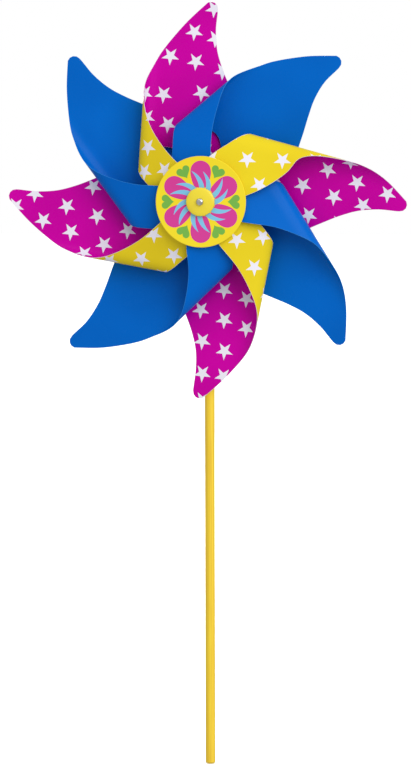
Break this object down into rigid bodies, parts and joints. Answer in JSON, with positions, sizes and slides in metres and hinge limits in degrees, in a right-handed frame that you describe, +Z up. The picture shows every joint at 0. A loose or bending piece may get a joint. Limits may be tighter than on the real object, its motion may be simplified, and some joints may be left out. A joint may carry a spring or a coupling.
{
  "type": "wind spinner",
  "caption": "Pinwheel on a stick: a round hub holds rolled foil arms in two layers that turn freely on a pin in the wind.",
  "frame": {"origin": "centre of the stick's foot", "axes": "+Z up along the stick, the wheel faces -Y and turns about the Y direction, +X to the wheel's right seen from the front"},
  "size_m": [0.2848, 0.0519, 0.5401],
  "materials": {
    "painted_wood": "yellow paint on a wooden dowel",
    "steel": "plain bright wire",
    "yellow_plastic": "moulded, glossy",
    "disc_print": "yellow sheet printed with a rosette",
    "white_plastic": "moulded, satin",
    "star_foil": "glossy film, white stars on magenta, white stars on yellow on the back",
    "blue_foil": "glossy blue film"
  },
  "bodies": {
    "stand": {"stick": "painted_wood", "axle_pin": "steel", "pin_retainer": "steel"},
    "wheel": {"rear_hub": "white_plastic", "star_sheet": "star_foil", "blue_sheet": "blue_foil", "spacer_sleeve": "white_plastic", "strap_washer": "white_plastic", "face_disc": "disc_print", "front_cap": "yellow_plastic"},
    "bead": {"rear_bead": "yellow_plastic"}
  },
  "joints": [
    {"name": "wheel_spin", "type": "hinge", "parent": "stand", "child": "wheel", "pos_m": [0, 0, 0.4], "axis": [0, -1, 0], "continuous": true},
    {"name": "bead_spin", "type": "hinge", "parent": "stand", "child": "bead", "pos_m": [0, 0, 0.4], "axis": [0, -1, 0], "continuous": true}
  ]
}
